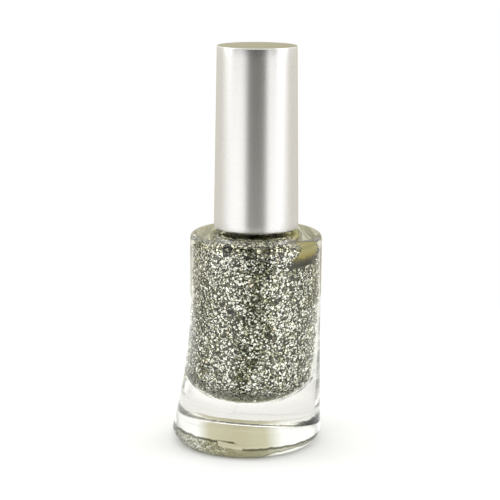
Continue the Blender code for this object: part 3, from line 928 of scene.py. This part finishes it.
def make_stem(material):
    """The wand: head stud, flange, plug, tapered rod and the bore that holds the bristles."""
    flange_low = GASKET_HIGH.z + 0.3 * MM
    flange_top = flange_low + 0.8 * MM
    plug_low = flange_low - 3.0 * MM
    stud, flange, plug = 1.7 * MM, 5.85 * MM, 3.39 * MM
    bore, low_radius, top_radius = 1.15 * MM, 1.55 * MM, 1.75 * MM
    soft, round_end, root = 0.4 * MM, 0.3 * MM, 0.3 * MM
    edge = 0.2 * MM
    top, end, bore_end = STEM_HIGH.z, STEM_LOW.z, STEM_LOW.z + 4.0 * MM
    profile = [(0.0, top)]
    profile += arc((stud - soft, top - soft), soft, 90, 0, 5)
    profile += [(stud, flange_top + 0.1 * MM), (stud + 0.1 * MM, flange_top)]
    profile += arc((flange - edge, flange_top - edge), edge, 90, 0, 4)
    profile += arc((flange - edge, flange_low + edge), edge, 0, -90, 4)
    profile += [(plug, flange_low), (plug, plug_low + soft)]
    profile += arc((plug - soft, plug_low + soft), soft, 0, -90, 5)
    profile += [(top_radius + root, plug_low), (top_radius, plug_low - root)]
    profile += [(top_radius, z) for z in (48.0 * MM, 42.0 * MM)]
    profile += [(low_radius + 0.06 * MM, 34.0 * MM), (low_radius, end + round_end)]
    profile += arc((low_radius - round_end, end + round_end), round_end, 0, -90, 5)
    profile += [(bore, end), (bore, bore_end), (0.0, bore_end)]
    stem = turned("brush_wand", profile, material, steps=72)
    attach(stem, "brush")
    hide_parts("brush_stem")


def tuft_radius(z):
    """Radius of the bristle tuft at a height: drawn in at the wand, full at its belly."""
    belly_z, belly, drawn_in = 20.0 * MM, 1.72 * MM, 0.52 * MM
    if z > belly_z:
        share = (z - belly_z) / (STEM_LOW.z - belly_z)
        return belly + (TUFT_BORE_REACH - belly) * share
    share = (belly_z - z) / (belly_z - TUFT_LOW.z)
    return belly - drawn_in * share**2


def make_bristles(material):
    """Round bristles, set in rings in the wand's bore and cut to a shallow dome."""
    rng = np.random.default_rng(41)
    shape = bmesh.new()
    root_z = TUFT_HIGH.z - 0.1 * MM
    dome, uneven, stray, lean_step = 0.9 * MM, 0.25 * MM, 0.05 * MM, 0.02
    golden = pi * (3 - 5**0.5)
    turns = spaced(0.0, FULL_TURN, BRISTLE_SIDES)[:-1]
    steps = 7
    thinning = [1.0] * (steps - 1) + [0.9, 0.4]
    for k in range(BRISTLE_COUNT):
        share = ((k + 0.5) / BRISTLE_COUNT) ** 0.5
        angle = golden * k
        tip = TUFT_LOW.z + dome * share**2 + rng.random() * uneven
        drift = rng.normal() * stray
        rings = []
        for n, (z, thin) in enumerate(zip(spaced(root_z, tip, steps), thinning)):
            reach = tuft_radius(z) if z < STEM_LOW.z else TUFT_BORE_REACH
            out = share * (reach - BRISTLE_RADIUS * 1.2) + drift * n / steps * (1 - share)
            lean = angle + lean_step * n
            x = NECK_X + out * cos(lean)
            y = out * sin(lean)
            size = BRISTLE_RADIUS * thin
            corners = [(x + size * cos(a), y + size * sin(a), z) for a in turns]
            rings.append([shape.verts.new(corner) for corner in corners])
        for upper, lower in zip(rings, rings[1:]):
            for i in range(BRISTLE_SIDES):
                j = (i + 1) % BRISTLE_SIDES
                shape.faces.new([upper[i], lower[i], lower[j], upper[j]])
        shape.faces.new(rings[0])
        shape.faces.new(list(reversed(rings[-1])))
    mesh = finished(shape, "bristles")
    shade(mesh, 50)
    tuft = add_object("bristles", mesh, material)
    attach(tuft, "brush")
    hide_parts("bristle_tuft")


def make_wet_coat():
    """Lacquer's flakes left on the bristles and on the wand's end."""
    rng = np.random.default_rng(57)
    count = WET_FLAKES
    start, sunk, tilt = 0.6 * MM, 0.16 * MM, 0.25
    tip_length, tip_share = 1.6 * MM, 0.88
    z = TUFT_LOW.z + start + (STEM_LOW.z - TUFT_LOW.z) * rng.random(count) ** 1.2
    turn = rng.random(count) * FULL_TURN
    reach = np.array([tuft_radius(v) for v in z]) - sunk
    reach = np.where(z < TUFT_LOW.z + tip_length, reach * tip_share, reach)
    centres = np.stack([NECK_X + reach * np.cos(turn), reach * np.sin(turn), z], axis=1)
    normals = np.stack([np.cos(turn), np.sin(turn), np.zeros(count)], axis=1)
    normals += rng.normal(size=normals.shape) * tilt
    normals /= np.linalg.norm(normals, axis=1, keepdims=True)
    size = (0.07 + 0.08 * rng.random(count)) * MM
    mesh = flake_mesh("wet_flakes", centres, normals, size, rng)
    kind = rng.choice(len(FLAKE_SHARES), size=count, p=FLAKE_SHARES)
    coat = add_object("wet_flakes", mesh, *FLAKE_MATERIALS)
    mesh.polygons.foreach_set("material_index", kind.astype(np.int32))
    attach(coat, "brush")


def make_ball(index, material):
    """Steel ball with the small flats that shot has."""
    low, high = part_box(f"mixing_ball_{index}")
    under_size, flat_level, flatness = 0.995, 0.992, 0.85
    radius = (high.x - low.x) / 2 * under_size
    rng = np.random.default_rng(70 + index)
    flats = [Vector(v).normalized() for v in rng.normal(size=(9, 3))]
    shape = bmesh.new()
    bmesh.ops.create_icosphere(shape, subdivisions=5, radius=radius)
    for vertex in shape.verts:
        for flat in flats:
            over = vertex.co.dot(flat) - radius * flat_level
            if over > 0.0:
                vertex.co -= flat * over * flatness
    mesh = finished(shape, f"stirring_ball_{index}")
    mesh.shade_smooth()
    ball = add_object(f"stirring_ball_{index}", mesh, material)
    ball.location = (low + high) / 2
    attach(ball, f"ball_{index}")
    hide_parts(f"mixing_ball_{index}")


# Stage, light and camera.


def make_floor():
    """A plain pale table top, round, with a turned-down edge."""
    edge = arc((TABLE_RADIUS, TABLE_DROP - TABLE_EDGE), TABLE_EDGE, 90, -90, 10)
    profile = [(0.0, TABLE_DROP)] + edge + [(0.0, TABLE_DROP - 2 * TABLE_EDGE)]
    nodes = Nodes("pale_table")
    nodes.set(Roughness=0.9)
    stops = [(0.3, (0.93, 0.93, 0.92)), (0.7, (0.96, 0.96, 0.95))]
    nodes.link(nodes.ramp(nodes.noise(30.0, 3.0, 0.5), stops), "Base Color")
    floor = turned("pale_table", profile, nodes.material)


def make_world():
    """A soft studio as seen from the table: white panels to both sides and above, a dim front
    where the camera stands, and khaki behind the object. The backdrop itself is plain white."""
    world = bpy.data.worlds.new("studio")
    bpy.context.scene.world = world
    world.use_nodes = True
    sky = Tree(world.node_tree)
    background = sky.tree.nodes["Background"]
    x, y, z = sky.split(sky.add("ShaderNodeTexCoord").outputs["Generated"])
    heading = sky.math("ARCTAN2", x, sky.math("MULTIPLY", y, -1.0))
    heading = sky.math("ADD", heading, STUDIO_TURN)
    turned_heading = sky.math("ADD", heading, UPPER_TURN)
    share = sky.math("DIVIDE", sky.math("ABSOLUTE", heading), pi)
    upper_share = sky.math("DIVIDE", sky.math("ABSOLUTE", turned_heading), pi)

    def plain(colour):
        node = sky.add("ShaderNodeRGB")
        node.outputs[0].default_value = (*colour, 1.0)
        return node.outputs[0]

    studio = sky.ramp(share, STUDIO_FLOOR)
    overhead, zenith = plain(STUDIO_OVERHEAD), plain(STUDIO_ZENITH)
    above = sky.mixed(sky.rise(z, *OVERHEAD_TO_ZENITH), overhead, zenith)
    for levels, part in (
        (FLOOR_TO_ROUND, sky.ramp(share, STUDIO_ROUND)),
        (ROUND_TO_UPPER, sky.ramp(upper_share, STUDIO_UPPER)),
        (UPPER_TO_HIGH, sky.ramp(upper_share, STUDIO_HIGH)),
        (HIGH_TO_OVERHEAD, above),
    ):
        studio = sky.mixed(sky.rise(z, *levels), studio, part)
    sky.tree.links.new(studio, background.inputs["Color"])
    background.inputs["Strength"].default_value = STUDIO_STRENGTH

    backdrop = sky.add("ShaderNodeBackground", {"Color": (*WHITE, 1.0)})
    seen = sky.add("ShaderNodeLightPath").outputs["Is Camera Ray"]
    shaders = (seen, background.outputs[0], backdrop.outputs[0])
    both = sky.fill(sky.add("ShaderNodeMixShader"), shaders)
    sky.tree.links.new(both, sky.tree.nodes["World Output"].inputs["Surface"])


def make_camera():
    data = bpy.data.cameras.new("camera")
    data.sensor_width = SENSOR
    data.lens = SENSOR * FOCAL_IN_WIDTHS
    data.clip_start = 0.01
    data.clip_end = 10.0
    camera = bpy.data.objects.new("camera", data)
    bpy.context.scene.collection.objects.link(camera)
    turn = Matrix.Rotation(pi / 2 - CAMERA_PITCH_DOWN, 4, "X")
    roll = Matrix.Rotation(CAMERA_ROLL, 4, "Z")
    camera.matrix_world = Matrix.Translation(CAMERA_PLACE) @ turn @ roll
    bpy.context.scene.camera = camera


bpy.context.scene.view_settings.view_transform = "Standard"
cycles = bpy.context.scene.cycles
cycles.max_bounces = 24
cycles.transmission_bounces = 24
cycles.glossy_bounces = 8

FLAKE_MATERIALS = [
    flake_material("silver_flakes", (1.0, 1.0, 0.985), (0.90, 0.90, 0.87), 0.05),
    flake_material("dark_flakes", (0.07, 0.07, 0.05), (0.015, 0.015, 0.01), 0.2),
    flake_material("warm_flakes", (0.95, 0.86, 0.74), (0.70, 0.60, 0.46), 0.08),
    flake_material("olive_flakes", (0.72, 0.74, 0.56), (0.40, 0.42, 0.28), 0.10),
]
STEEL = plastic_material("steel", (0.72, 0.71, 0.69), (0.55, 0.54, 0.52), 0.18, 1500.0, 1.0)

make_bottle()
MURK = lacquer_material()
make_lacquer(MURK)
make_film(MURK)
FILL_POINT = [(CAVITY_RADIUS, FILL_LEVEL)]
make_flakes("glitter_below", FILL_POINT + cavity_wall(), 20000, seed=7)
make_flakes("glitter_above", cavity_shoulder(0.0, 88.0) + FILL_POINT, 6000, seed=11, level=0.7)
make_overcap()
make_inner_cap(plastic_material("white_plastic", (0.88, 0.88, 0.86), (0.80, 0.80, 0.78), 0.35))
make_gasket(plastic_material("gasket_foam", (0.92, 0.91, 0.88), (0.78, 0.77, 0.73), 0.75, 4000.0))
make_stem(plastic_material("black_plastic", (0.035, 0.035, 0.035), (0.02, 0.02, 0.02), 0.28))
NYLON = plastic_material("black_nylon", (0.055, 0.05, 0.045), (0.02, 0.018, 0.015), 0.4, 6000.0)
make_bristles(NYLON)
make_wet_coat()
make_ball(1, STEEL)
make_ball(2, STEEL)
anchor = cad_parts["tuft_anchor"]
anchor.data.materials.clear()
anchor.data.materials.append(STEEL)

make_floor()
make_world()
make_camera()
